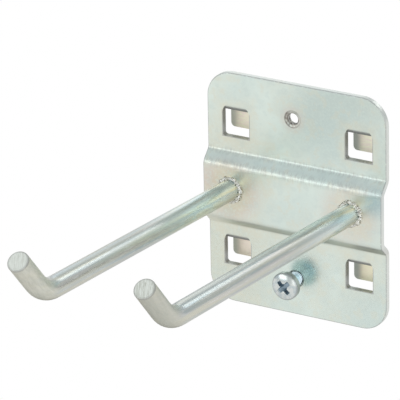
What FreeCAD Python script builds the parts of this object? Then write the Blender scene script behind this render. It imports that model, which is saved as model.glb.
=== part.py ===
import FreeCAD, Part
import math
import os

# Double peg hook for a square-hole tool panel, sizes in millimetres.
# X runs to the right of someone facing the hook, Y into the panel and Z up.
# The origin is the centre of the four lugs, on the back plane of the plate.

# Stamped back plate, with its margins outside the lug pattern
sheet = 1.75
side_margin = 8.65
top_margin = 14.3
bottom_margin = 15.45
plate_x = -0.25
corner_radius = 7.7
edge_round = 0.3

# Raised band across the plate
band_z = -0.5
band_height = 15.7
band_rise = 3.0
band_angle = 45.0
bend_radius = 1.3

# Lugs pressed out of the plate, and the windows they leave
lug_pitch = 38.0
lug_gap = 2.8
lug_overlap = 6.1
lug_bend_radius = 0.4
lug_corner = 1.2
root_height = 2.9
window_width = 8.3
window_below = 4.4
window_top_radius = 2.5
window_bottom_radius = 0.8
lug_side_gap = 0.1

# Tapped holes above and below the band
upper_hole_x = -1.3
hole_above_lugs = 4.2
screw_x = -0.85
hole_below_lugs = 4.8
upper_hole_radius = 1.62
hole_rim_radius = 2.45
hole_rim_depth = 0.3

# Welded pegs
peg_radius = 3.0
peg_middle = -0.85
peg_spacing = 37.2
peg_z = 0.2
peg_rise_angle = 4.1
peg_length = 97.0
tip_length = 17.3
tip_angle = 45.0
peg_bend_radius = 13.0
tip_round = 0.4
weld_leg = 1.2
weld_height = 1.1
weld_fullness = 0.62

# Locking screw
screw_radius = 1.95
screw_play = 0.05
screw_length = 6.0
screw_standoff = 4.45
head_radius = 4.0
head_height = 2.8
head_dome_radius = 8.0
head_edge = 0.35
recess_span = 5.0
recess_floor_span = 2.0
recess_width = 1.3
recess_floor_width = 0.9
recess_core_radius = 1.2
recess_floor_radius = 0.55
recess_depth = 1.9
recess_turn = 44.0
screw_chamfer = 0.5

# Sizes that follow from the ones above
plate_width = lug_pitch + 2.0 * side_margin
plate_height = lug_pitch + top_margin + bottom_margin
plate_z = (top_margin - bottom_margin) / 2.0
upper_hole_z = lug_pitch / 2.0 + hole_above_lugs
screw_z = -lug_pitch / 2.0 - hole_below_lugs
front = -sheet
band_front = front - band_rise
outer_bend = bend_radius + sheet
lug_outer_bend = lug_bend_radius + sheet
lug_width = window_width - 2.0 * lug_side_gap
reach = plate_width + plate_height + peg_length + tip_length


def vec(x, y, z):
    return FreeCAD.Vector(x, y, z)


def block(x0, x1, y0, y1, z0, z1):
    return Part.makeBox(x1 - x0, y1 - y0, z1 - z0, vec(x0, y0, z0))


def prism_x(points, x0, x1):
    """Solid with a straight-sided outline of (y, z) points, drawn along X."""
    wire = Part.makePolygon([vec(x0, y, z) for y, z in points + points[:1]])
    return Part.Face(wire).extrude(vec(x1 - x0, 0, 0))


def edges_along(shape, axis, test):
    """Straight edges parallel to one axis whose midpoint passes a test."""
    found = []
    for edge in shape.Edges:
        ends = edge.Vertexes
        if len(ends) != 2:
            continue
        step = ends[1].Point - ends[0].Point
        if step.Length > 1e-6 and abs(abs(step.normalize().dot(axis)) - 1.0) < 1e-6:
            if test(edge.CenterOfMass):
                found.append(edge)
    return found


def rounded_panel(width, height, cx, cz, top_radius, bottom_radius):
    """Rounded rectangle in X and Z, drawn right through the sheet along Y."""
    x0 = cx - width / 2.0
    z0 = cz - height / 2.0
    solid = block(x0, x0 + width, -reach, reach, z0, z0 + height)
    y_axis = vec(0, 1, 0)
    upper = edges_along(solid, y_axis, lambda c: c.z > cz)
    solid = solid.makeFillet(top_radius, upper)
    lower = edges_along(solid, y_axis, lambda c: c.z < cz and abs(abs(c.x - cx) - width / 2.0) < 1e-4)
    return solid.makeFillet(bottom_radius, lower)


def banded_sheet():
    """Sheet with the raised band, before the outline is trimmed."""
    slope = math.radians(band_angle)
    run = band_rise / math.tan(slope)
    back_step = sheet * math.tan(slope / 2.0)
    top = plate_z + plate_height / 2.0
    bottom = plate_z - plate_height / 2.0
    z2 = band_z + band_height / 2.0
    z1 = z2 + run
    z3 = z2 - band_height
    z4 = z3 - run
    outline = [(front, top), (front, z1), (band_front, z2), (band_front, z3), (front, z4), (front, bottom),
               (0, bottom), (0, z4 + back_step), (-band_rise, z3 + back_step),
               (-band_rise, z2 - back_step), (0, z1 - back_step), (0, top)]
    solid = prism_x(outline, plate_x - plate_width, plate_x + plate_width)
    x_axis = vec(1, 0, 0)
    inner = [(front, z1), (front, z4), (-band_rise, z2 - back_step), (-band_rise, z3 + back_step)]
    outer = [(0, z1 - back_step), (0, z4 + back_step), (band_front, z2), (band_front, z3)]
    for corners, radius in ((inner, bend_radius), (outer, outer_bend)):
        for y, z in corners:
            picked = edges_along(solid, x_axis, lambda c: abs(c.y - y) < 1e-4 and abs(c.z - z) < 1e-4)
            solid = solid.makeFillet(radius, picked)
    return solid


def outline_edges(solid):
    """Edges that run round the rim of the plate on both faces."""
    half_w = plate_width / 2.0
    half_h = plate_height / 2.0
    found = []
    for edge in solid.Edges:
        c = edge.CenterOfMass
        walls = 0
        for vertex in edge.Vertexes:
            dx = abs(vertex.X - plate_x)
            dz = abs(vertex.Z - plate_z)
            qx = max(dx - (half_w - corner_radius), 0.0)
            qz = max(dz - (half_h - corner_radius), 0.0)
            if abs(math.hypot(qx, qz) - corner_radius) < 1e-3:
                walls += 1
        through = abs(edge.tangentAt((edge.FirstParameter + edge.LastParameter) / 2.0).y) > 0.9
        across = abs(c.x - plate_x) < half_w - corner_radius and abs(c.z - plate_z) < half_h - corner_radius
        if walls == 2 and not through and not across:
            found.append(edge)
    return found


def lug(cx, cz):
    """One lug: the root turns back from the window top and the tongue hangs down behind."""
    under = cz + root_height
    ri = lug_bend_radius
    ro = lug_outer_bend
    y1 = front + ro
    y2 = lug_gap - ri
    z_low = under - lug_overlap
    z_high = under + ro + sheet / 2.0
    q = math.sqrt(0.5)
    x0 = cx - lug_width / 2.0

    def p(y, z):
        return vec(x0, y, z)

    def arc(centre_y, centre_z, radius, start, middle, end):
        points = [p(centre_y + radius * a, centre_z + radius * b) for a, b in (start, middle, end)]
        return Part.Arc(*points).toShape()

    def line(a, b):
        return Part.LineSegment(p(*a), p(*b)).toShape()

    zc = under + ro
    zd = under - ri
    edges = [line((front, z_high), (front, zc)),
             arc(y1, zc, ro, (-1, 0), (-q, -q), (0, -1)),
             line((y1, under), (y2, under)),
             arc(y2, zd, ri, (0, 1), (q, q), (1, 0)),
             line((lug_gap, zd), (lug_gap, z_low)),
             line((lug_gap, z_low), (lug_gap + sheet, z_low)),
             line((lug_gap + sheet, z_low), (lug_gap + sheet, zd)),
             arc(y2, zd, ri + sheet, (1, 0), (q, q), (0, 1)),
             line((y2, under + sheet), (y1, under + sheet)),
             arc(y1, zc, ri, (0, -1), (-q, -q), (-1, 0)),
             line((0, zc), (0, z_high)),
             line((0, z_high), (front, z_high))]
    solid = Part.Face(Part.Wire(edges)).extrude(vec(lug_width, 0, 0))
    corners = edges_along(solid, vec(0, 1, 0), lambda c: c.z < z_low + 1e-3)
    return solid.makeFillet(lug_corner, corners)


def tapped_hole(x, z, radius):
    """Through hole with a shallow dish at its front rim."""
    mouth = vec(x, front - hole_rim_depth, z)
    hole = Part.makeCylinder(radius, sheet + 2.0 * hole_rim_depth, mouth, vec(0, 1, 0))
    dish = Part.makeCone(2.0 * hole_rim_radius - radius, radius, 2.0 * hole_rim_depth, mouth, vec(0, 1, 0))
    return hole.fuse(dish)


def back_plate():
    rim = rounded_panel(plate_width, plate_height, plate_x, plate_z, corner_radius, corner_radius)
    plate = banded_sheet().common(rim)
    plate = plate.makeFillet(edge_round, outline_edges(plate))
    window_top = root_height + lug_outer_bend
    window_height = window_top + window_below
    centre = (window_top - window_below) / 2.0
    half = lug_pitch / 2.0
    for cx in (-half, half):
        for cz in (-half, half):
            opening = rounded_panel(window_width, window_height, cx, cz + centre,
                                    window_top_radius, window_bottom_radius)
            plate = plate.cut(opening).fuse(lug(cx, cz))
    plate = plate.cut(tapped_hole(upper_hole_x, upper_hole_z, upper_hole_radius))
    plate = plate.cut(tapped_hole(screw_x, screw_z, screw_radius + screw_play))
    return plate.removeSplitter()


def peg_foot(x):
    """Point where the axis of a peg meets the front of the band."""
    return vec(x, band_front, peg_z)


def rising(angle):
    """Direction out of the panel that climbs by an angle in degrees."""
    turn = math.radians(angle)
    return vec(0, -math.cos(turn), math.sin(turn))


def in_front_of_band(solid):
    behind = block(-reach, reach, band_front, reach, -reach, reach)
    return solid.cut(behind)


def peg(x):
    """Round rod out of the band, with its end bent upwards."""
    foot = peg_foot(x)
    shank = rising(peg_rise_angle)
    tip = rising(peg_rise_angle + tip_angle)
    start = foot - shank * peg_radius
    corner = foot + shank * peg_length
    tangent = peg_bend_radius * math.tan(math.radians(tip_angle) / 2.0)
    a = corner - shank * tangent
    b = corner + tip * tangent
    inward = (tip - shank).normalize()
    middle = corner + inward * (peg_bend_radius / math.cos(math.radians(tip_angle) / 2.0) - peg_bend_radius)
    path = Part.Wire([Part.LineSegment(start, a).toShape(),
                      Part.Arc(a, middle, b).toShape(),
                      Part.LineSegment(b, corner + tip * tip_length).toShape()])
    section = Part.Wire(Part.makeCircle(peg_radius, start, shank))
    solid = path.makePipeShell([section], True, True)
    end = corner + tip * tip_length
    rim = [e for e in solid.Edges if (e.CenterOfMass - end).Length < 1e-3]
    return in_front_of_band(solid.makeFillet(tip_round, rim[:1]))


def weld(x):
    """Ring of weld in the corner between a peg and the band."""
    foot = peg_foot(x)
    shank = rising(peg_rise_angle)
    side = vec(1, 0, 0)

    def p(along, out):
        return foot + shank * along + side * out

    outer = peg_radius + weld_leg
    bulge = p(weld_height * weld_fullness, peg_radius + weld_leg * weld_fullness)
    edges = [Part.LineSegment(p(-weld_leg, peg_radius), p(-weld_leg, outer)).toShape(),
             Part.LineSegment(p(-weld_leg, outer), p(0.0, outer)).toShape(),
             Part.Arc(p(0.0, outer), bulge, p(weld_height, peg_radius)).toShape(),
             Part.LineSegment(p(weld_height, peg_radius), p(-weld_leg, peg_radius)).toShape()]
    ring = Part.Face(Part.Wire(edges)).revolve(foot, shank, 360.0)
    return in_front_of_band(Part.Solid(ring) if ring.ShapeType == "Shell" else ring)


def recess(top):
    """Cross recess: two tapered slots at right angles round a tapered core, cut in from the crown."""
    cross = Part.makeCone(2.0 * recess_core_radius - recess_floor_radius, recess_floor_radius, 2.0 * recess_depth,
                          vec(screw_x, top - recess_depth, screw_z), vec(0, 1, 0))
    for turn in (recess_turn, recess_turn + 90.0):
        loops = []
        for y, span, width in ((top - recess_depth, 2.0 * recess_span - recess_floor_span,
                                2.0 * recess_width - recess_floor_width),
                               (top + recess_depth, recess_floor_span, recess_floor_width)):
            corners = [(-span, -width), (span, -width), (span, width), (-span, width)]
            points = [vec(u / 2.0, y, w / 2.0) for u, w in corners + corners[:1]]
            loops.append(Part.makePolygon(points))
        wing = Part.makeLoft(loops, True, True)
        wing.rotate(vec(0, 0, 0), vec(0, 1, 0), -turn)
        wing.translate(vec(screw_x, 0, screw_z))
        cross = cross.fuse(wing)
    return cross


def locking_screw():
    under = front - screw_standoff
    top = under - head_height
    end = under + screw_length
    sag = head_dome_radius - math.sqrt(head_dome_radius ** 2 - head_radius ** 2)
    half_sag = head_dome_radius - math.sqrt(head_dome_radius ** 2 - (head_radius / 2.0) ** 2)

    def p(y, out):
        return vec(screw_x + out, y, screw_z)

    edges = [Part.Arc(p(top, 0), p(top + half_sag, head_radius / 2.0), p(top + sag, head_radius)).toShape(),
             Part.LineSegment(p(top + sag, head_radius), p(under, head_radius)).toShape(),
             Part.LineSegment(p(under, head_radius), p(under, screw_radius)).toShape(),
             Part.LineSegment(p(under, screw_radius), p(end - screw_chamfer, screw_radius)).toShape(),
             Part.LineSegment(p(end - screw_chamfer, screw_radius), p(end, screw_radius - screw_chamfer)).toShape(),
             Part.LineSegment(p(end, screw_radius - screw_chamfer), p(end, 0)).toShape(),
             Part.LineSegment(p(end, 0), p(top, 0)).toShape()]
    body = Part.Face(Part.Wire(edges)).revolve(p(0, 0), vec(0, 1, 0), 360.0)
    rims = [e for e in body.Edges if abs(e.BoundBox.XLength - 2.0 * head_radius) < 1e-3
            and e.BoundBox.YLength < 1e-3]
    body = body.makeFillet(head_edge, rims)
    return body.cut(recess(top))


def main():
    os.makedirs("parts", exist_ok=True)
    left = peg_middle - peg_spacing / 2.0
    right = peg_middle + peg_spacing / 2.0
    shapes = {"back_plate": back_plate(), "left_peg": peg(left), "right_peg": peg(right),
              "left_weld": weld(left), "right_weld": weld(right), "locking_screw": locking_screw()}
    for name, shape in shapes.items():
        solid = shape.Solids[0] if len(shape.Solids) == 1 else shape
        print(name, "solids", len(shape.Solids), "valid", shape.isValid(), "volume", round(shape.Volume, 1),
              "box", shape.BoundBox)
        solid.exportStep("parts/" + name + ".step")


main()
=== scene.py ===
# %% [markdown]
# A double hook for a square-hole tool panel.
# The real one is a stamped sheet-steel plate with two welded rods and a locking screw, all plated
# in zinc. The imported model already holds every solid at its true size, so this lesson loads it as
# a fixed frame, gives each surface its finish and adds the small forms that the solids leave
# plain: the rough weld beads, the screw's thread and the thread in the empty hole.

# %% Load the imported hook
import math
from types import SimpleNamespace

import bmesh
import bpy
from mathutils import Matrix, Vector, noise


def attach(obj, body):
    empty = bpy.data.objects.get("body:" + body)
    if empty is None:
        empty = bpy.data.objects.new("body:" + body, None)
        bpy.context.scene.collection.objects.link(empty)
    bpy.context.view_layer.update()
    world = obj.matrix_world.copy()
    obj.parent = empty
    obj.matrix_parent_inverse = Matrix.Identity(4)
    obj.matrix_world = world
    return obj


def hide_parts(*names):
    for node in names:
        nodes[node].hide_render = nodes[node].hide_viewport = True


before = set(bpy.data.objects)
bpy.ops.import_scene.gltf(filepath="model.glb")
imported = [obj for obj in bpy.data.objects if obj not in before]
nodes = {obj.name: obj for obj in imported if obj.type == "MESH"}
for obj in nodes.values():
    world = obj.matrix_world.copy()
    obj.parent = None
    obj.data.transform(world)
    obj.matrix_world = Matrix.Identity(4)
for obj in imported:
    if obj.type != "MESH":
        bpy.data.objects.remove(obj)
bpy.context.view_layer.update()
MM = 0.001

# %% [markdown]
# The camera stands to the right of the hook and above it, with a long lens, so the pegs hardly
# converge. Its angles come from lining up the four windows and the plate's outline. Blender's
# camera looks along its own -Z, so the columns of its matrix are its right, its up and its back.

# %% Camera at the viewing angle
AZIMUTH = math.radians(30.403)
ELEVATION = math.radians(22.541)
ROLL = math.radians(-1.134)
CAMERA_DISTANCE = 1.2278
LENS = 399.02
CAMERA_TARGET = Vector((-0.031855, 0.0, -0.006968))
CLIP = (0.05, 50.0)


def aim(distance, azimuth, elevation):
    """Vector of that length towards an azimuth, from the front round to the right, and an elevation."""
    level = math.cos(elevation)
    return distance * Vector((math.sin(azimuth) * level, -math.cos(azimuth) * level, math.sin(elevation)))


camera_data = bpy.data.cameras.new("camera")
camera_data.lens = LENS
camera_data.clip_start = CLIP[0]
camera_data.clip_end = CLIP[1]
camera = bpy.data.objects.new("camera", camera_data)
bpy.context.scene.collection.objects.link(camera)
back = aim(1.0, AZIMUTH, ELEVATION)
level_right = Vector((math.cos(AZIMUTH), math.sin(AZIMUTH), 0.0))
level_up = back.cross(level_right)
right = math.cos(ROLL) * level_right + math.sin(ROLL) * level_up
up = math.cos(ROLL) * level_up - math.sin(ROLL) * level_right
turned = Matrix((right, up, back)).transposed().to_4x4()
camera.matrix_world = Matrix.Translation(CAMERA_TARGET + CAMERA_DISTANCE * back) @ turned
bpy.context.scene.camera = camera
bpy.context.scene.view_settings.view_transform = "Standard"
print("camera at", [round(v, 3) for v in camera.matrix_world.translation])

# %% [markdown]
# Shader maths reads best as plain expressions. This small class holds one socket of a node tree;
# each Python operator on it adds a Math node, and every other node goes through one method that
# takes its type, its settings and its inputs.


# %% A socket that understands arithmetic
class Wire:
    def __init__(self, tree, socket):
        self.tree = tree
        self.socket = socket

    def node(self, kind, settings=None, inputs=None, output=0):
        made = self.tree.nodes.new(kind)
        for name, value in (settings or {}).items():
            setattr(made, name, value)
        for name, value in (inputs or {}).items():
            if isinstance(value, Wire):
                self.tree.links.new(value.socket, made.inputs[name])
            else:
                made.inputs[name].default_value = value
        return Wire(self.tree, made.outputs[output])

    def math(self, operation, *values):
        return self.node("ShaderNodeMath", {"operation": operation}, dict(enumerate((self, *values))))

    def flipped(self, operation, value):
        return self.node("ShaderNodeMath", {"operation": operation}, {0: value, 1: self})

    def __add__(self, other):
        return self.math("ADD", other)

    def __radd__(self, other):
        return self.flipped("ADD", other)

    def __sub__(self, other):
        return self.math("SUBTRACT", other)

    def __rsub__(self, other):
        return self.flipped("SUBTRACT", other)

    def __mul__(self, other):
        return self.math("MULTIPLY", other)

    def __rmul__(self, other):
        return self.flipped("MULTIPLY", other)

    def __abs__(self):
        return self.math("ABSOLUTE")

    def lesser(self, other):
        return self.math("MINIMUM", other)

    def greater(self, other):
        return self.math("MAXIMUM", other)

    def step(self, low, high):
        """Smooth step: 0 at low and 1 at high, or the other way round where low is above high."""
        return self.node("ShaderNodeMapRange", {"interpolation_type": "SMOOTHSTEP"},
                         {"Value": self, "From Min": low, "From Max": high})

    def near(self, place, reach):
        """1 at a place, fading to 0 at a reach on both sides of it."""
        return abs(self - place).step(reach, 0.0)

    def noise(self, scale, detail=2.0, roughness=0.5, swirl=0.0):
        return self.node("ShaderNodeTexNoise", None,
                         {"Vector": self, "Scale": scale, "Detail": detail, "Roughness": roughness,
                          "Distortion": swirl})

    def stretched(self, x, y, z):
        return self.node("ShaderNodeMapping", None, {"Vector": self, "Scale": (x, y, z)})

    def tint(self, mask, colour):
        """This colour, painted over with another where the mask says."""
        painted = colour if isinstance(colour, Wire) else (*colour, 1.0)
        return self.node("ShaderNodeMix", {"data_type": "RGBA"}, {0: mask, 6: self, 7: painted}, 2)


print("socket class ready")

# %% [markdown]
# Every finish starts and ends alike, so four helpers do that part. The first gives a material and
# the Object coordinates in millimetres, because marks on the hook are easier to place in the
# units of its drawing. The last ones join colour, roughness and bump, and put the material on.


# %% Start and end of a finish
def start_material(name):
    """New material, its shader, and Object coordinates in millimetres as a vector and three numbers."""
    material = bpy.data.materials.new(name)
    material.use_nodes = True
    tree = material.node_tree
    shader = tree.nodes["Principled BSDF"]
    place = tree.nodes.new("ShaderNodeTexCoord")
    metres = Wire(tree, place.outputs["Object"])
    spot = metres.node("ShaderNodeVectorMath", {"operation": "SCALE"}, {0: metres, "Scale": 1.0 / MM})
    axes = [spot.node("ShaderNodeSeparateXYZ", None, {0: spot}, k) for k in range(3)]
    return material, shader, spot, axes


def mixed(spot, mask, first, second):
    """Colour that goes from a first to a second one as the mask goes from 0 to 1."""
    return spot.node("ShaderNodeMix", {"data_type": "RGBA"},
                     {0: mask, 6: (*first, 1.0), 7: (*second, 1.0)}, 2)


def finish_material(shader, spot, colour, roughness, height, strength):
    """Joins the colour, the roughness and a bump height, in millimetres, to a metal shader."""
    tree = spot.tree
    tree.links.new(colour.socket, shader.inputs["Base Color"])
    tree.links.new(roughness.socket, shader.inputs["Roughness"])
    shader.inputs["Metallic"].default_value = 1.0
    bump = spot.node("ShaderNodeBump", None, {"Height": height, "Strength": strength, "Distance": MM})
    tree.links.new(bump.socket, shader.inputs["Normal"])


def put_on(piece, material):
    piece.data.materials.clear()
    piece.data.materials.append(material)


print("finish helpers ready")

# %% [markdown]
# The stage is a white floor far below the hook, so no shadow falls into the picture, and a pale
# plain room. To the camera the floor is plain white. Bright metal shows what stands around it, so
# the floor has a grey mat below and behind the hook, which only reflections see: it draws the
# dark line along the band's lower bend, as a table edge does in a real studio. Its faint outer
# part takes a little light from the undersides of the pegs.

# %% Floor and room
FLOOR_Z = -0.60
FLOOR_SIZE = 8.0
FLOOR_COLOUR = (1.0, 1.0, 1.0)
FLOOR_MATT = (0.85, 0.85, 0.85, 1.0)
MAT_PLACE = (-0.36, 0.38, FLOOR_Z)
MAT_RADIUS = (0.16, 0.42)
MAT_TAIL = (0.4, 1.1)
MAT_TAIL_SHARE = 0.2
MAT_COLOUR = (0.36, 0.36, 0.33)
ROOM_COLOUR = (0.70, 0.73, 0.74, 1.0)


def new_object(name, shape):
    """Turns a bmesh into an object at the origin and frees it."""
    mesh = bpy.data.meshes.new(name)
    shape.to_mesh(mesh)
    shape.free()
    piece = bpy.data.objects.new(name, mesh)
    bpy.context.scene.collection.objects.link(piece)
    return piece


def floor_paint():
    material = bpy.data.materials.new("white_floor")
    material.use_nodes = True
    tree = material.node_tree
    tree.nodes.clear()
    path = tree.nodes.new("ShaderNodeLightPath")
    camera_ray = Wire(tree, path.outputs["Is Camera Ray"])
    glossy_ray = Wire(tree, path.outputs["Is Glossy Ray"])
    seen = camera_ray.greater(glossy_ray).greater(Wire(tree, path.outputs["Is Transmission Ray"]))
    place = Wire(tree, tree.nodes.new("ShaderNodeTexCoord").outputs["Object"])
    out = place.node("ShaderNodeVectorMath", {"operation": "DISTANCE"}, {0: place, 1: MAT_PLACE}, 1)
    tail = out.step(MAT_TAIL[1], MAT_TAIL[0]) * MAT_TAIL_SHARE
    mat = out.step(MAT_RADIUS[1], MAT_RADIUS[0]).greater(tail) * glossy_ray
    matt = seen.node("ShaderNodeBsdfDiffuse", None, {"Color": FLOOR_MATT})
    shown = seen.node("ShaderNodeEmission", None, {"Color": mixed(seen, mat, FLOOR_COLOUR, MAT_COLOUR)})
    both = seen.node("ShaderNodeMixShader", None, {0: seen, 1: matt, 2: shown})
    surface = tree.nodes.new("ShaderNodeOutputMaterial")
    tree.links.new(both.socket, surface.inputs["Surface"])
    return material


def make_floor():
    shape = bmesh.new()
    bmesh.ops.create_grid(shape, x_segments=1, y_segments=1, size=FLOOR_SIZE)
    bmesh.ops.translate(shape, verts=shape.verts, vec=(0.0, 0.0, FLOOR_Z))
    floor = new_object("floor", shape)
    put_on(floor, floor_paint())


def make_room():
    world = bpy.data.worlds.new("room")
    bpy.context.scene.world = world
    world.use_nodes = True
    world.node_tree.nodes["Background"].inputs["Color"].default_value = ROOM_COLOUR


make_floor()
make_room()
print("stage ready, floor at", FLOOR_Z)

# %% [markdown]
# Each lamp is placed by what a form mirrors. The band's bends turn towards a weak soft lamp in
# front on the left. A long strip behind and above on the right draws the streak along the pegs. A
# low screen behind on the left lights the plate's top rim. A broad, weak lamp stands in front on
# the right, a little above level: the plate throws its light on to the roots of the pegs, which
# would be dark without it.


# %% Lamps
def soft_lamp(name, azimuth, elevation, distance, width, height, watts):
    """Rectangular lamp that faces the hook from an azimuth and elevation in degrees."""
    data = bpy.data.lights.new(name, "AREA")
    data.shape = "RECTANGLE"
    data.size = width
    data.size_y = height
    data.energy = watts
    lamp = bpy.data.objects.new(name, data)
    lamp.location = aim(distance, math.radians(azimuth), math.radians(elevation))
    lamp.rotation_mode = "QUATERNION"
    lamp.rotation_quaternion = lamp.location.to_track_quat("Z", "Y")
    bpy.context.scene.collection.objects.link(lamp)


soft_lamp("front_left_lamp", azimuth=-32.0, elevation=14.0, distance=1.5,
          width=0.9, height=0.34, watts=1.9)
soft_lamp("back_strip_lamp", azimuth=161.0, elevation=32.0, distance=1.4,
          width=0.8, height=0.12, watts=0.95)
soft_lamp("back_left_screen", azimuth=-150.0, elevation=20.0, distance=1.6,
          width=0.8, height=0.5, watts=0.8)
soft_lamp("front_right_lamp", azimuth=37.0, elevation=12.0, distance=1.5,
          width=1.5, height=1.0, watts=3.8)

# %% [markdown]
# The plate is sheet steel with bright zinc plating. Plating leaves a clear film that is only a
# few wavelengths thick, so the pale grey-green metal drifts to blue, straw, cream and pink. The
# film differs round cut edges and where the welds heated the sheet. One picture of all this could
# be painted, but it would be fixed to one size, so the finish is worked out from places instead.
# These are the places, read from the drawing of the plate.

# %% Places on the plate, in millimetres
SHEET = 1.75
WINDOW_PITCH = 38.0
WINDOW_HALF = (4.15, 4.725)
WINDOW_RISE = 0.325
SILL_Z = -4.4
LUG_BACK_Y = 4.55
UPPER_HOLE = (-1.3, 23.2)
SCREW_PLACE = (-0.85, -23.8)
HOLE_EDGE = 1.68
HOLE_RIM = 2.42
DISH = (2.62, 2.36)
PEG_MIDDLE = -0.85
PEG_OFFSET = 18.6
PEG_Z = 0.2
BAND_EDGES = (7.35, -8.35)
BAND_RUN = 3.0
SLOPE_FOOT = BAND_EDGES[1] - BAND_RUN
PLATE_MIDDLE = (-0.25, -0.575)
PLATE_HALF = (27.65, 33.875)
PLATE_CORNER = 7.7
LEFT_PART = (-2.0, -18.0)
RIGHT_PART = (2.0, 18.0)
print("plate", 2 * PLATE_HALF[0], "by", 2 * PLATE_HALF[1], "mm, sheet", SHEET)

# %% [markdown]
# Several layers of the finish need the same facts about a spot: how far it is from a window or a
# weld, whether it lies on a bend, a slope or a lug, and what the noises are there. They are worked
# out once, as wires, and kept together under plain names. Slow noise gives the drift of the film,
# fine noise its grain, and noise squeezed one way gives the scratches that the press left.


# %% Noises and masks that the plate's layers share
def far_from(x, z, place):
    """Distance from a place on the plate's face."""
    dx = x - place[0]
    dz = z - place[1]
    return (dx * dx + dz * dz).math("SQRT")


def plate_marks(spot, x, y, z):
    """Coordinates, noises, distances and masks of the plate."""
    on = SimpleNamespace(spot=spot, x=x, y=y, z=z)
    on.drift = spot.noise(0.05, 2.0)
    on.clouds = spot.noise(0.15, 3.0)
    on.patches = spot.noise(0.38, 2.0)
    on.sand = spot.noise(1.5, 3.0, 0.7)
    on.grain = spot.noise(6.0, 2.0)
    on.scratches = spot.stretched(1.7, 1.0, 0.22).noise(1.0, 3.0, 0.65)
    window_x = abs(abs(x) - WINDOW_PITCH / 2) - WINDOW_HALF[0]
    window_z = abs(abs(z - WINDOW_RISE) - WINDOW_PITCH / 2) - WINDOW_HALF[1]
    on.window = window_x.greater(window_z)
    on.lug_z = z - z.math("SIGN") * (WINDOW_PITCH / 2)
    weld_x = abs(x - PEG_MIDDLE) - PEG_OFFSET
    on.weld = (weld_x * weld_x + (z - PEG_Z) * (z - PEG_Z)).math("SQRT")
    on.left = x.step(*LEFT_PART)
    on.right = x.step(*RIGHT_PART)
    on.still = z.step(SLOPE_FOOT, SLOPE_FOOT - 4.0)
    on.top_slope = z.near(BAND_EDGES[0] + BAND_RUN / 2, 2.6)
    on.top_bends = z.near(BAND_EDGES[0], 2.0).greater(z.near(BAND_EDGES[0] + BAND_RUN, 1.4))
    slope_top = z.step(BAND_EDGES[1] + 0.15, BAND_EDGES[1] - 1.0)
    on.low_slope = slope_top * z.step(SLOPE_FOOT - 0.15, SLOPE_FOOT + 0.45)
    inside = y.step(-SHEET + 0.02, -SHEET + 0.25) * y.step(0.0, -0.1)
    on.walls = on.window.step(0.35, 0.12) * inside
    on.lugs = y.step(0.05, 0.3)
    return on


print("plate marks ready")

# %% [markdown]
# The film comes first. On the real plate it is bluish at the upper middle and in the lower right
# corner, straw round the windows and cream down the left side, with weak patches all over. Each
# tint is painted over the last through a soft mask, which is how the colours of a thin film run
# into each other.

# %% Film of the plate
ZINC = (0.71, 0.77, 0.70)
ZINC_PALE = (0.75, 0.84, 0.78)
ZINC_BLUE = (0.56, 0.66, 0.64)
ZINC_STRAW = (0.74, 0.72, 0.59)
ZINC_CREAM = (0.68, 0.68, 0.57)
ZINC_PINK = (0.70, 0.61, 0.545)
SLOPE_BLUE = (0.70, 0.86, 0.90)
BLUE_UPPER = (12.0, 24.0)
BLUE_CORNER = (25.0, -32.0)
CREAM_TOP = (24.0, 12.0)


def film_drift(on):
    """Pale zinc with slow tints."""
    haze = on.window + (on.clouds - 0.5) * 7.0
    colour = mixed(on.spot, (on.clouds * 0.5 + on.drift * 0.5).step(0.40, 0.62), ZINC, ZINC_PALE)
    colour = colour.tint(far_from(on.x, on.z, BLUE_UPPER).step(20.0, 7.0) * 0.6, ZINC_BLUE)
    colour = colour.tint(on.drift.step(0.50, 0.66) * 0.3, ZINC_BLUE)
    colour = colour.tint(haze.step(3.6, 0.0) * on.clouds.step(0.3, 0.6) * 0.65, ZINC_STRAW)
    cream = on.left * on.z.step(*CREAM_TOP) * (1.0 - on.top_slope)
    colour = colour.tint(cream * 0.6, ZINC_CREAM)
    below_band = on.z.step(SLOPE_FOOT - 7.0, SLOPE_FOOT) * on.z.step(BAND_EDGES[1], SLOPE_FOOT)
    colour = colour.tint(below_band * 0.35, ZINC_STRAW)
    return colour.tint(far_from(on.x, on.z, BLUE_CORNER).step(16.0, 4.0) * 0.45, ZINC_BLUE)


def calm_flat(on, colour):
    """Bluer and creamier flat below the band, and a blue slope above it."""
    colour = colour.tint(on.still * 0.2, ZINC_BLUE)
    colour = colour.tint(on.still * on.left * 0.25, ZINC_CREAM)
    return colour.tint(on.top_slope * 0.30, SLOPE_BLUE)


def film_patches(on, colour):
    """Weak patches a few millimetres wide, and a pale grain."""
    colour = colour.tint(on.patches.step(0.53, 0.66) * 0.22, ZINC_BLUE)
    colour = colour.tint(on.patches.step(0.46, 0.34) * 0.30, ZINC_STRAW)
    return colour.tint(on.sand.step(0.42, 0.70) * 0.35, ZINC_PALE)


print("film layers ready")

# %% [markdown]
# Round each weld, where the sheet was hot, the film has rings of pink and straw, as on a heated
# pipe. The left weld ran hotter, so its rings are stronger and a flush reaches the plate's edge.
# The distance to the weld's centre places them, and the cloud noise keeps the straw rings from
# looking drawn with a compass.

# %% Heat round the welds
PEG_REFLECTION_BLUE_GREY = (0.46, 0.58, 0.60)
WELD_STRAW = (0.60, 0.56, 0.42)
PEG_REFLECTION_SPOT = (25.6, 4.2)
WELD_FLUSH = (-26.5, 2.5)


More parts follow.
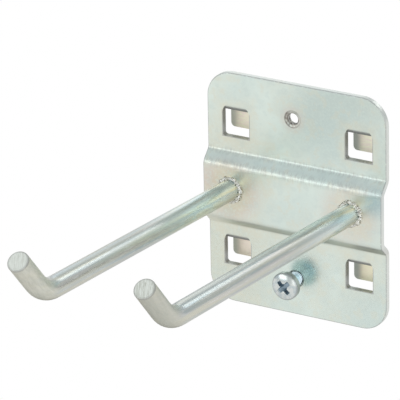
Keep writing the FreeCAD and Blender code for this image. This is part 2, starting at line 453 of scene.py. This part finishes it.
def weld_heat_and_reflection(on, colour):
    """Pink and straw rings, a painted reflection of the right peg as a blue-grey spot at the right edge,
    and a blush round the empty hole.
    """
    strength = 0.6 + on.left * 0.3
    colour = colour.tint(on.weld.step(12.0, 4.2) * strength, ZINC_PINK)
    colour = colour.tint((on.weld + on.clouds * 4.0).step(11.0, 5.5) * strength, ZINC_STRAW)
    # Painted reflection: the right peg's mirror image in the plate, painted as a blue-grey spot.
    colour = colour.tint(far_from(on.x, on.z, PEG_REFLECTION_SPOT).step(5.5, 1.0) * 0.8, PEG_REFLECTION_BLUE_GREY)
    return colour.tint(far_from(on.x, on.z, UPPER_HOLE).step(5.0, 2.2) * 0.5, ZINC_PINK)


def left_heat(on, colour):
    """What the hotter left weld adds."""
    colour = colour.tint(far_from(on.x, on.z, WELD_FLUSH).step(5.0, 1.0) * 0.6, ZINC_PINK)
    return colour.tint((on.weld + on.clouds * 4.0).step(11.0, 6.5) * on.left * 0.55, WELD_STRAW)


print("heat layers ready")

# %% [markdown]
# The press scratched the upper bends. The slope under the band faces down, and its colour carries
# painted shade, darkest at the right and along its foot and thinning out to nothing at the left,
# where the slope is painted pale as painted light. Each stretch is a smooth step along the plate's width.

# %% Marks of the press
SHEARED = (0.375, 0.375, 0.37)
SLOPE_SHADE = (0.36, 0.365, 0.335)
SLOPE_PALE = (0.95, 0.95, 0.86)
MIDDLE_SHADE = (-8.0, 11.0)
RIGHT_SHADE = (23.5, 7.0)
SHADE_START = (-27.0, -17.0)
FOOT_SHADE_START = (-24.0, -10.0)
SLOPE_SHADE_START = (-26.0, -2.0)
PALE_END = (-17.0, -27.0)
DULL_END = (-19.0, -25.0)


def press_marks_and_shade(on, colour):
    """Scratched upper bends, and painted shade and painted light on the slope under the band."""
    colour = colour.tint(on.top_bends * on.scratches.step(0.45, 0.60) * 0.32, SHEARED)
    # Painted shade on the slope under the band: darkest at the right, with a darker line along its foot.
    shade_by_x = (on.x.near(*MIDDLE_SHADE) * 0.5).greater(on.x.near(*RIGHT_SHADE) * 1.4)
    shade_by_x = shade_by_x * on.x.step(*SHADE_START)
    foot_shade = on.z.step(BAND_EDGES[1] - 0.6, SLOPE_FOOT) * on.x.step(*FOOT_SHADE_START)
    shade_strength = 0.4 * on.x.step(*SLOPE_SHADE_START) + shade_by_x * 0.25 + foot_shade * 0.2
    # Painted light: the slope's left end is painted pale.
    colour = colour.tint(on.low_slope * on.x.step(*PALE_END) * 0.8, SLOPE_PALE)
    return colour.tint(on.low_slope * shade_strength, SLOPE_SHADE)


print("press layer ready")

# %% [markdown]
# The lugs are bent back out of the windows, so through each window the eye meets a lug's front.
# It keeps the streaks of the rolled sheet, straw and pink, turns rosy at the lower left and honey
# at the lower right, and carries painted shade towards its left side, where the window's wall
# shades it, deeper on the right-hand lugs. Half the window pitch is taken off x on each side of
# the middle, so that one set of masks serves all four lugs.

# %% Lugs behind the windows
LUG_STRAW = (0.92, 0.89, 0.70)
LUG_PINK = (0.90, 0.80, 0.70)
LUG_ROSE = (0.86, 0.75, 0.65)
LUG_HONEY = (0.84, 0.78, 0.55)
LUG_SHADE = (0.56, 0.56, 0.53)
LUG_DEEP_SHADE = (0.34, 0.335, 0.34)
LOWER_PART = (-5.0, -12.0)


def lug_skin_and_shade(on, colour):
    """Rolled streaks on the lugs' fronts, with painted shade towards their left sides."""
    lug_x = on.x - on.x.math("SIGN") * (WINDOW_PITCH / 2)
    rolled = on.spot.stretched(0.35, 1.0, 2.6).noise(1.1, 3.0, 0.6)
    low = on.z.step(*LOWER_PART)
    tone = mixed(on.spot, rolled.step(0.42, 0.58), LUG_STRAW, LUG_PINK)
    tone = tone.tint(on.left * low * 0.7, LUG_ROSE)
    tone = tone.tint(on.right * low * 0.6, LUG_HONEY)
    # Painted shade of the window's wall over each lug's left side, deeper on the right-hand lugs.
    tone = tone.tint(lug_x.step(-1.4, -3.6), LUG_SHADE)
    tone = tone.tint(lug_x.step(-0.8, -3.2) * on.right * 0.5, LUG_DEEP_SHADE)
    front = on.y.step(LUG_BACK_Y - 0.2, LUG_BACK_Y - 0.9)
    return colour.tint(on.lugs * (0.2 + front * 0.7), tone)


print("lug layer ready")

# %% [markdown]
# Shearing leaves the walls of the windows rough and dark, with a grey line on the face where the
# punch went in. The plate's outer rim is burnished, with a broken grey line just inside it. The
# two tapped holes are dished, and the tap tore their rims dark. Painted shade darkens the dish
# and rim further on the empty hole's left and lower side, and all round the screw's hole. The
# outline is a rounded rectangle, so the way in from its edge is measured from the centres of its
# rounded corners.

# %% Cut edges and torn holes
BURNISHED = (0.69, 0.69, 0.67)
EDGE_GREY = (0.36, 0.36, 0.36)
TORN_AND_SHADE = (0.17, 0.15, 0.13)


def cut_edges(on, colour):
    """Walls and rims of the windows, and the plate's own rim."""
    sill = on.lug_z.step(SILL_Z + 0.2, SILL_Z - 0.1)
    colour = colour.tint(on.walls * (0.9 - sill * 0.5), SHEARED)
    face = on.y.step(-SHEET + 0.1, -SHEET + 0.02)
    pressed = on.window.step(0.26, 0.12) * face * on.lug_z.step(3.4, 2.4)
    colour = colour.tint(pressed * 0.75, EDGE_GREY)
    rim_x = (abs(on.x - PLATE_MIDDLE[0]) - (PLATE_HALF[0] - PLATE_CORNER)).greater(0.0)
    rim_z = (abs(on.z - PLATE_MIDDLE[1]) - (PLATE_HALF[1] - PLATE_CORNER)).greater(0.0)
    inset = PLATE_CORNER - (rim_x * rim_x + rim_z * rim_z).math("SQRT")
    colour = colour.tint(inset.step(0.10, 0.03) * 0.7, BURNISHED)
    edge_line = inset.step(0.34, 0.24) * inset.step(0.02, 0.10)
    return colour.tint(edge_line * on.sand.step(0.3, 0.5) * 0.62, EDGE_GREY)


def torn_and_shaded_holes(on, colour):
    """Dark dish, rim and inner edge of the tapped holes, with painted shade on the empty hole's left and
    lower side.
    """
    holes = far_from(on.x, on.z, UPPER_HOLE).lesser(far_from(on.x, on.z, SCREW_PLACE))
    shaded_side = (on.x - UPPER_HOLE[0] + (on.z - UPPER_HOLE[1]) * 0.6).step(1.3, -1.1)
    dish = holes.step(*DISH) * on.sand.step(0.68, 0.40)
    # Painted shade: the dish and rim darken towards the empty hole's left and lower side, and all round
    # the screw's hole.
    colour = colour.tint(dish * (0.15 + shaded_side * 0.6), TORN_AND_SHADE)
    colour = colour.tint(holes.near(HOLE_RIM, 0.30) * (0.25 + shaded_side * 0.4), TORN_AND_SHADE)
    return colour.tint(holes.near(HOLE_EDGE, 0.26) * 0.75, TORN_AND_SHADE)


print("edge layers ready")

# %% [markdown]
# The layers are laid over each other from the broad to the narrow: film, heat, marks of the press,
# lugs and cut edges, so that a narrow mark stays crisp on top of a broad tint. Roughness follows
# the same masks. The flat below the band is the glossiest part and mirrors the underside of the
# screw's head, which is painted pale blue-white as painted light, as a pale blue spot. The bump is
# only sand, grain and the scratches over the bends, which break up their bright lines.

# %% Finish of the stamped plate
PLATE_LAYERS = (weld_heat_and_reflection, calm_flat, left_heat, film_patches,
                press_marks_and_shade, lug_skin_and_shade, cut_edges, torn_and_shaded_holes)


def plate_finish():
    material, shader, spot, (x, y, z) = start_material("zinc_plate")
    on = plate_marks(spot, x, y, z)
    colour = film_drift(on)
    for layer in PLATE_LAYERS:
        colour = layer(on, colour)
    roughness = 0.29 - on.still * 0.06 + on.sand * 0.10 + on.top_bends * 0.07
    roughness = roughness + on.walls * 0.25 + on.lugs * 0.10 + on.low_slope * x.step(*DULL_END) * 0.35
    low_bends = z.near(BAND_EDGES[1], 1.3).greater(z.near(SLOPE_FOOT, 0.9))
    bends = on.top_bends.greater(low_bends * 0.4)
    height = on.sand * 0.015 + on.grain * 0.004 + bends * on.scratches * 0.09
    finish_material(shader, spot, colour, roughness, height, 0.7)
    return material


put_on(nodes["back_plate"], plate_finish())
print("plate finish on", nodes["back_plate"].name)

# %% [markdown]
# The pegs are drawn rod: the drawing die leaves long streaks, and the plating lies brighter and
# duller along them. Each peg rises a little towards its end, so the coordinates are first turned
# by that angle, and the streaks are noise that hardly changes along the rod. The bent tips have
# coordinates of their own, along and across the tip.

# %% Places and noises of the pegs, in millimetres
PEG_RISE = math.radians(4.1)
PEG_FOOT_Y = -4.75
PEG_LENGTH = 97.0
TIP_RISE = math.radians(49.1)
TIP_LENGTH = 17.3
TIP_FROM_Y = -97.0
POLISH_FROM_Y = (-60.0, -80.0)
CORNER_Y = PEG_FOOT_Y - PEG_LENGTH * math.cos(PEG_RISE)
CORNER_Z = PEG_Z + PEG_LENGTH * math.sin(PEG_RISE)


def rod_marks(spot, x, y, z):
    """Coordinates, noises and masks of the pegs."""
    on = SimpleNamespace(spot=spot, x=x, y=y, z=z)
    level = spot.node("ShaderNodeMapping", None, {"Vector": spot, "Rotation": (PEG_RISE, 0.0, 0.0)})
    on.streaks = level.stretched(1.0, 0.012, 1.0).noise(1.5, 3.0)
    on.wide = level.stretched(1.0, 0.03, 1.0).noise(0.40, 2.0)
    on.blotch = level.stretched(1.0, 0.22, 1.0).noise(0.7, 2.0, 0.5, 1.2)
    on.film = level.stretched(1.0, 0.02, 1.0).noise(0.8, 2.0)
    on.nicks = level.stretched(1.6, 0.10, 1.6).noise(1.6, 3.0, 0.7).step(0.57, 0.66)
    on.speck = spot.noise(3.0, 2.0)
    on.right_peg = x.step(-5.0, 5.0)
    on.heated = (y - x * 0.3).step(PEG_FOOT_Y - 50.0, PEG_FOOT_Y - 8.0)
    on.along_tip = (CORNER_Y - y) * math.cos(TIP_RISE) + (z - CORNER_Z) * math.sin(TIP_RISE)
    on.across_tip = (y - CORNER_Y) * math.sin(TIP_RISE) + (z - CORNER_Z) * math.cos(TIP_RISE)
    on.tip = y.step(TIP_FROM_Y, TIP_FROM_Y - 6.0)
    tip_place = spot.node("ShaderNodeCombineXYZ", None, {0: x, 1: on.across_tip, 2: on.along_tip * 0.2})
    on.rubbed = tip_place.noise(0.9, 5.0, 0.75)
    hatch = spot.node("ShaderNodeCombineXYZ", None, {0: x + on.across_tip * 0.45, 1: on.across_tip * 0.12})
    on.sawn = hatch.noise(3.4, 4.0, 0.75, 0.6)
    on.end = on.along_tip.step(TIP_LENGTH - 0.12, TIP_LENGTH - 0.02)
    return on


print("pegs bend up at y", round(CORNER_Y, 1), "and z", round(CORNER_Z, 1))

# %% [markdown]
# Along the shank the metal is grey with blue, straw and lilac streaks. Near the weld it was hot,
# so the film there is mottled green, straw and blue, further out on the left peg; these heat
# colours are painted paler than the film alone, as painted light that the plate throws on the
# roots, and painted shade lies under the roots. Small bright nicks tell of tools hung on it. Noise
# that is squeezed along the rod picks the streaks, and noise that is less squeezed picks the
# mottle and the nicks.

# %% Skin of the shanks
ROD = (0.52, 0.545, 0.52)
ROD_BLUE = (0.45, 0.51, 0.52)
ROD_STRAW = (0.62, 0.60, 0.49)
ROD_LILAC = (0.60, 0.575, 0.58)
ROD_NICK = (0.80, 0.81, 0.80)
LIT_HEAT_GREEN = (0.84, 0.93, 0.85)
LIT_HEAT_STRAW = (0.88, 0.87, 0.70)
LIT_HEAT_BLUE = (0.58, 0.70, 0.75)
ROD_UNDER_SHADE = (0.48, 0.48, 0.40)


def drawn_skin(on):
    """Grey rod with lengthwise streaks."""
    colour = mixed(on.spot, on.streaks.step(0.40, 0.62), ROD, ROD_BLUE)
    colour = colour.tint(on.wide.step(0.45, 0.62) * 0.7, ROD_STRAW)
    return colour.tint(on.film.step(0.52, 0.60) * on.film.step(0.70, 0.62) * 0.5, ROD_LILAC)


def heated_root(on, colour):
    """Mottled heat colours painted pale as painted light, painted shade under the root, and nicks."""
    heat = mixed(on.spot, on.blotch.step(0.40, 0.56), LIT_HEAT_GREEN, LIT_HEAT_STRAW)
    heat = heat.tint(on.wide.step(0.44, 0.56) * 0.8, LIT_HEAT_BLUE)
    # Painted light: the heat colours are paler than the film, standing in for light the plate throws on
    # the roots.
    colour = colour.tint(on.heated * 0.85, heat)
    axis_z = PEG_Z + (PEG_FOOT_Y - on.y) * math.tan(PEG_RISE)
    # Painted shade under the root of each peg.
    under_shade = (on.z - axis_z).step(0.3, -1.2) * on.y.step(PEG_FOOT_Y - 18.0, PEG_FOOT_Y - 5.0)
    colour = colour.tint(under_shade * 0.7, ROD_UNDER_SHADE)
    return colour.tint(on.nicks * 0.55, ROD_NICK)


print("shank layers ready")

# %% [markdown]
# Tools slide on over the front of each peg, so the last stretch before the bend is a little
# polished. The bent tips are dull from handling, the right one darker than the left, with faint
# streaks along them. Their ends were cut square: the cut is bright and hatched, with a dark burr
# round it. The same hatch drives the colour and the bump, so the lines catch the light where they
# show.

# %% Tips and cut ends
ROD_DULL = (0.645, 0.645, 0.555)
ROD_RUBBED = (0.77, 0.76, 0.67)
ROD_HANDLED = (0.50, 0.50, 0.43)
ROD_END = (0.95, 0.97, 0.91)
ROD_SAWN = (0.70, 0.71, 0.64)
ROD_BURR = (0.34, 0.34, 0.33)
BURR = (2.35, 2.85)


def handled_tip(on, colour):
    """Dull, rubbed tips."""
    tone = mixed(on.spot, on.rubbed.step(0.38, 0.62), ROD_DULL, ROD_RUBBED)
    return colour.tint(on.tip * 0.8, tone.tint(on.right_peg * 0.5, ROD_HANDLED))


def cut_end(on, colour):
    """Hatched ends with a burr."""
    tone = mixed(on.spot, on.sawn.step(0.42, 0.60), ROD_END, ROD_SAWN)
    colour = colour.tint(on.end, tone.tint((1.0 - on.right_peg) * 0.4, ROD_END))
    rod_x = abs(on.x - PEG_MIDDLE) - PEG_OFFSET
    burr = (rod_x * rod_x + on.across_tip * on.across_tip).math("SQRT").step(*BURR)
    burr = burr * on.along_tip.step(TIP_LENGTH - 0.55, TIP_LENGTH - 0.25)
    return colour.tint(burr * 0.6, ROD_BURR)


def rod_finish():
    material, shader, spot, (x, y, z) = start_material("zinc_rod")
    on = rod_marks(spot, x, y, z)
    colour = drawn_skin(on)
    for layer in (heated_root, handled_tip, cut_end):
        colour = layer(on, colour)
    polished = y.step(*POLISH_FROM_Y) * (1.0 - on.tip)
    roughness = 0.28 + on.streaks * 0.10 + on.tip * 0.14 - on.heated * 0.06
    roughness = roughness - polished * 0.055 + on.nicks * 0.12
    height = on.streaks * 0.014 + on.speck * 0.003 + on.tip * on.rubbed * 0.03 + on.end * on.sawn * 0.05
    finish_material(shader, spot, colour, roughness, height, 0.5)
    return material


rod = rod_finish()
for side in ("left", "right"):
    put_on(nodes[side + "_peg"], rod)
print("rod finish on both pegs")

# %% [markdown]
# A weld bead is a ring of metal that froze as it ran round the peg, so it is lumpy and pitted. A
# spun section gives the ring, a fixed noise pushes its points in and out, and its back is then cut
# level with the band. Modelling the lumps, instead of only shading them, keeps the rough outline
# that a bead shows against the plate.

# %% Weld beads
PEG_RADIUS = 3.0
BEAD_OUT = 0.80
BEAD_ALONG = 0.80
BEAD_OVERLAP = 0.15
BEAD_BACK = 0.6
BEAD_SUNK = 0.15
BEAD_ROUGHNESS = 0.42
BEAD_STEPS = 150
QUARTER_STEPS = 8
BEAD_SEED = {"left": 11.0, "right": 47.0}
COARSE_LUMPS = 0.9
COARSE_SHARE = 0.8
FINE_LUMPS = 2.3
MERGE = 0.002
SHANK = Vector((0.0, -math.cos(PEG_RISE), math.sin(PEG_RISE)))
SIDE = Vector((1.0, 0.0, 0.0))


def bead_section(foot):
    """Closed outline of the bead, from the peg's skin out to the band and back."""
    points = [(BEAD_ALONG, PEG_RADIUS - BEAD_OVERLAP)]
    for k in range(QUARTER_STEPS + 1):
        turn = math.radians(90.0 * k / QUARTER_STEPS)
        points.append((BEAD_ALONG * math.cos(turn), PEG_RADIUS + BEAD_OUT * math.sin(turn)))
    points.append((-BEAD_BACK, PEG_RADIUS + BEAD_OUT))
    points.append((-BEAD_BACK, PEG_RADIUS - BEAD_OVERLAP))
    return [foot + MM * (along * SHANK + out * SIDE) for along, out in points]


def weld_bead(side, x):
    foot = MM * Vector((x, PEG_FOOT_Y, PEG_Z))
    shape = bmesh.new()
    ring = [shape.verts.new(point) for point in bead_section(foot)]
    edges = [shape.edges.new((a, b)) for a, b in zip(ring, ring[1:] + ring[:1])]
    bmesh.ops.spin(shape, geom=ring + edges, cent=foot, axis=SHANK, angle=math.tau, steps=BEAD_STEPS,
                   use_merge=True)
    bmesh.ops.remove_doubles(shape, verts=shape.verts, dist=MERGE * MM)
    bmesh.ops.recalc_face_normals(shape, faces=shape.faces)
    shape.normal_update()
    for vert in shape.verts:
        place = vert.co / MM + Vector((BEAD_SEED[side], 0.0, 0.0))
        lump = COARSE_SHARE * noise.noise(place * COARSE_LUMPS) + noise.noise(place * FINE_LUMPS)
        vert.co += vert.normal * MM * BEAD_ROUGHNESS * lump
    every = shape.verts[:] + shape.edges[:] + shape.faces[:]
    cut = bmesh.ops.bisect_plane(shape, geom=every, plane_co=foot + MM * Vector((0.0, BEAD_SUNK, 0.0)),
                                 plane_no=(0.0, 1.0, 0.0), clear_outer=True)
    rims = [edge for edge in cut["geom_cut"] if isinstance(edge, bmesh.types.BMEdge)]
    bmesh.ops.bridge_loops(shape, edges=rims)
    bmesh.ops.recalc_face_normals(shape, faces=shape.faces)
    bead = new_object(side + "_weld_bead", shape)
    for face in bead.data.polygons:
        face.use_smooth = True
    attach(bead, "hook")
    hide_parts(side + "_weld")
    return bead


print("bead", BEAD_OUT, "mm out and", BEAD_ALONG, "mm along the peg")

# %% [markdown]
# Plating takes unevenly on the frozen metal: the hollows stay dark and the crests are almost
# white, so the bead is the most speckled place on the hook. Two noises of different size pick the
# dark and the bright grains, and the roughness follows them.

# %% Finish of the beads
BEAD_TONE = (0.66, 0.64, 0.54)
BEAD_DARK = (0.10, 0.09, 0.07)
BEAD_LIGHT = (0.95, 0.95, 0.91)


def bead_finish():
    material, shader, spot, _ = start_material("weld_bead")
    lumps = spot.noise(1.8, 3.0, 0.6)
    grains = spot.noise(3.4, 3.0, 0.7)
    colour = mixed(spot, lumps.step(0.40, 0.54), BEAD_TONE, BEAD_LIGHT)
    colour = colour.tint(grains.step(0.52, 0.58) * 0.9, BEAD_DARK)
    roughness = 0.22 + lumps * 0.25
    finish_material(shader, spot, colour, roughness, grains * 0.14 + lumps * 0.10, 0.8)
    return material


bead_skin = bead_finish()
for side, sign in (("left", -1.0), ("right", 1.0)):
    bead = weld_bead(side, PEG_MIDDLE + sign * PEG_OFFSET)
    put_on(bead, bead_skin)
    print(bead.name, "faces", len(bead.data.polygons))

# %% [markdown]
# The locking screw has a metric thread of 4 mm with a pitch of 0.7 mm. Its head comes from the
# solid, cut off under the head, so the cross recess stays exact. The thread is a small four-sided
# section that is spun round the axis and pushed along it at each step, over a plain core.

# %% Threaded locking screw
THREAD_PITCH = 0.7
THREAD_CREST = 1.93
THREAD_ROOT = 1.56
THREAD_SINK = 0.05
THREAD_FLANK = 0.85
THREAD_FLAT = 0.15
THREAD_STEPS = 36
THREAD_START = 0.3
THREAD_STOP = 0.5
CORE_SIDES = 48
HEAD_UNDER_Y = -6.2
HEAD_CUT = 0.02
SCREW_END_Y = -0.2
SCREW_FOOT = MM * Vector((SCREW_PLACE[0], 0.0, SCREW_PLACE[1]))
INWARD = Vector((0.0, 1.0, 0.0))


def helix(shape, foot, start_y, end_y, section):
    """Ridge of a closed section of (along, out) points, wound about Y, with capped ends."""
    turns = (end_y - start_y) / THREAD_PITCH
    steps = round(turns * THREAD_STEPS)
    places = [(start_y + along) * INWARD + out * SIDE for along, out in section]
    ring = [shape.verts.new(foot + MM * place) for place in places]
    face = shape.faces.new(ring)
    push = MM * (end_y - start_y) / steps * INWARD
    edges = list(face.edges)
    bmesh.ops.spin(shape, geom=ring + edges, cent=foot, axis=INWARD, dvec=push,
                   angle=math.tau * turns, steps=steps)
    loose = [edge for edge in shape.edges if edge.is_boundary]
    bmesh.ops.contextual_create(shape, geom=loose)


def screw_head():
    """Merged copy of the solid's head, cut at its underside and closed there."""
    shape = bmesh.new()
    shape.from_mesh(nodes["locking_screw"].data)
    bmesh.ops.remove_doubles(shape, verts=shape.verts, dist=MERGE * MM)
    every = shape.verts[:] + shape.edges[:] + shape.faces[:]
    cut = bmesh.ops.bisect_plane(shape, geom=every, plane_co=MM * (HEAD_UNDER_Y + HEAD_CUT) * INWARD,
                                 plane_no=INWARD, clear_outer=True)
    rim_shade = [edge for edge in cut["geom_cut"] if isinstance(edge, bmesh.types.BMEdge)]
    bmesh.ops.contextual_create(shape, geom=rim_shade)
    return shape


def threaded_screw():
    shape = screw_head()
    length = SCREW_END_Y - HEAD_UNDER_Y
    core = bmesh.ops.create_cone(shape, cap_ends=True, segments=CORE_SIDES, radius1=THREAD_ROOT * MM,
                                 radius2=THREAD_ROOT * MM, depth=length * MM)
    middle = SCREW_FOOT + MM * (HEAD_UNDER_Y + length / 2) * INWARD
    lay = Matrix.Translation(middle) @ Matrix.Rotation(math.pi / 2, 4, "X")
    bmesh.ops.transform(shape, matrix=lay, verts=core["verts"])
    half = THREAD_PITCH / 2
    root = THREAD_ROOT - THREAD_SINK
    section = [(-half * THREAD_FLANK, root), (-half * THREAD_FLAT, THREAD_CREST),
               (half * THREAD_FLAT, THREAD_CREST), (half * THREAD_FLANK, root)]
    helix(shape, SCREW_FOOT, HEAD_UNDER_Y + THREAD_START, SCREW_END_Y - THREAD_STOP, section)
    bmesh.ops.recalc_face_normals(shape, faces=shape.faces)
    screw = new_object("threaded_screw", shape)
    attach(screw, "screw")
    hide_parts("locking_screw")
    return screw


print("thread", THREAD_PITCH, "mm pitch, screw", round(SCREW_END_Y - HEAD_UNDER_Y, 2), "mm under its head")

# %% [markdown]
# The screw is plated brighter than the plate. Its underside and shank are painted pale
# blue-white as painted light, so that the glossy plate mirrors them as a light blue spot, and
# the rim of its head has a band of painted shade. The cross recess is painted dark blue as
# painted shade: depth under the dome, worked out from the sphere that the dome belongs to,
# tells the recess from the skin of the head.

# %% Finish of the screw
BRIGHT = (0.66, 0.69, 0.67)
BRIGHT_BLUE = (0.54, 0.60, 0.61)
HEAD_RIM_SHADE = (0.30, 0.32, 0.32)
RECESS_SHADE_BLUE = (0.34, 0.43, 0.50)
UNDERSIDE_LIGHT_BLUE = (0.78, 0.92, 1.0)
DOME_RADIUS = 8.0
CROWN_Y = -9.0
RECESS_SQUARED = (9.0, 7.5)
RIM_SQUARED = (11.5, 15.0)


def screw_finish():
    material, shader, spot, (x, y, z) = start_material("screw_plating")
    dx = x - SCREW_PLACE[0]
    dz = z - SCREW_PLACE[1]
    out = dx * dx + dz * dz
    dy = y - (CROWN_Y + DOME_RADIUS)
    under = DOME_RADIUS - (out + dy * dy).math("SQRT")
    in_head = y.step(HEAD_UNDER_Y - 0.4, HEAD_UNDER_Y - 0.6)
    recess = under.step(0.06, 0.5) * out.step(*RECESS_SQUARED) * in_head
    mottle = spot.noise(0.8, 2.0)
    fine = spot.noise(4.0, 1.0)
    rim_shade = out.step(*RIM_SQUARED) * y.step(HEAD_UNDER_Y + 0.2, HEAD_UNDER_Y)
    colour = mixed(spot, mottle.step(0.42, 0.62), BRIGHT, BRIGHT_BLUE)
    # Painted shade: a dark band round the rim of the head.
    colour = colour.tint(rim_shade * 0.7, HEAD_RIM_SHADE)
    # Painted light: the head's underside and the shank are painted pale blue-white.
    colour = colour.tint(y.step(HEAD_UNDER_Y - 0.3, HEAD_UNDER_Y - 0.1), UNDERSIDE_LIGHT_BLUE)
    # Painted shade: the cross recess is painted dark blue.
    colour = colour.tint(recess * 0.9, RECESS_SHADE_BLUE)
    roughness = 0.18 + mottle * 0.08 + recess * 0.25
    finish_material(shader, spot, colour, roughness, mottle * 0.006 + fine * 0.003, 0.5)
    return material


screw = threaded_screw()
put_on(screw, screw_finish())
print(screw.name, "faces", len(screw.data.polygons))

# %% [markdown]
# The empty hole at the top is tapped for a second screw. Its solid is a plain bore at the
# thread's minor size, so a fine ridge wound inside it shows the thread. It is mottled dark and
# pale, because a tap leaves oil and torn metal behind.

# %% Thread in the empty hole
HOLE_RADIUS = 1.62
HOLE_RIM_DEPTH = 0.3
RIDGE_FLANK = 0.7
RIDGE_SINK = 0.05
RIDGE_HALF_FLAT = 0.05
RIDGE_HEIGHT = 0.09
RIDGE_START = 0.1
RIDGE_STOP_Y = -0.3
TAPPED = (0.24, 0.23, 0.21)
TAPPED_PALE = (0.88, 0.88, 0.85)


def hole_thread():
    shape = bmesh.new()
    flank = THREAD_PITCH / 2 * RIDGE_FLANK
    root = HOLE_RADIUS + RIDGE_SINK
    crest = HOLE_RADIUS - RIDGE_HEIGHT
    section = [(-flank, root), (-RIDGE_HALF_FLAT, crest), (RIDGE_HALF_FLAT, crest), (flank, root)]
    foot = MM * Vector((UPPER_HOLE[0], 0.0, UPPER_HOLE[1]))
    helix(shape, foot, -SHEET + HOLE_RIM_DEPTH + RIDGE_START, RIDGE_STOP_Y, section)
    bmesh.ops.recalc_face_normals(shape, faces=shape.faces)
    thread = new_object("hole_thread", shape)
    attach(thread, "hook")
    return thread


def tapped_finish():
    material, shader, spot, _ = start_material("tapped_metal")
    mottle = spot.noise(2.0, 2.0)
    colour = mixed(spot, mottle.step(0.4, 0.65), TAPPED, TAPPED_PALE)
    finish_material(shader, spot, colour, 0.3 + mottle * 0.2, mottle * 0.05, 0.5)
    return material


thread = hole_thread()
put_on(thread, tapped_finish())
print(thread.name, "faces", len(thread.data.polygons))

# %% [markdown]
# Last: the dressing may stand proud by a little, and nothing here changes the hook's real size.

# %% End of the script
print("hook dressed")
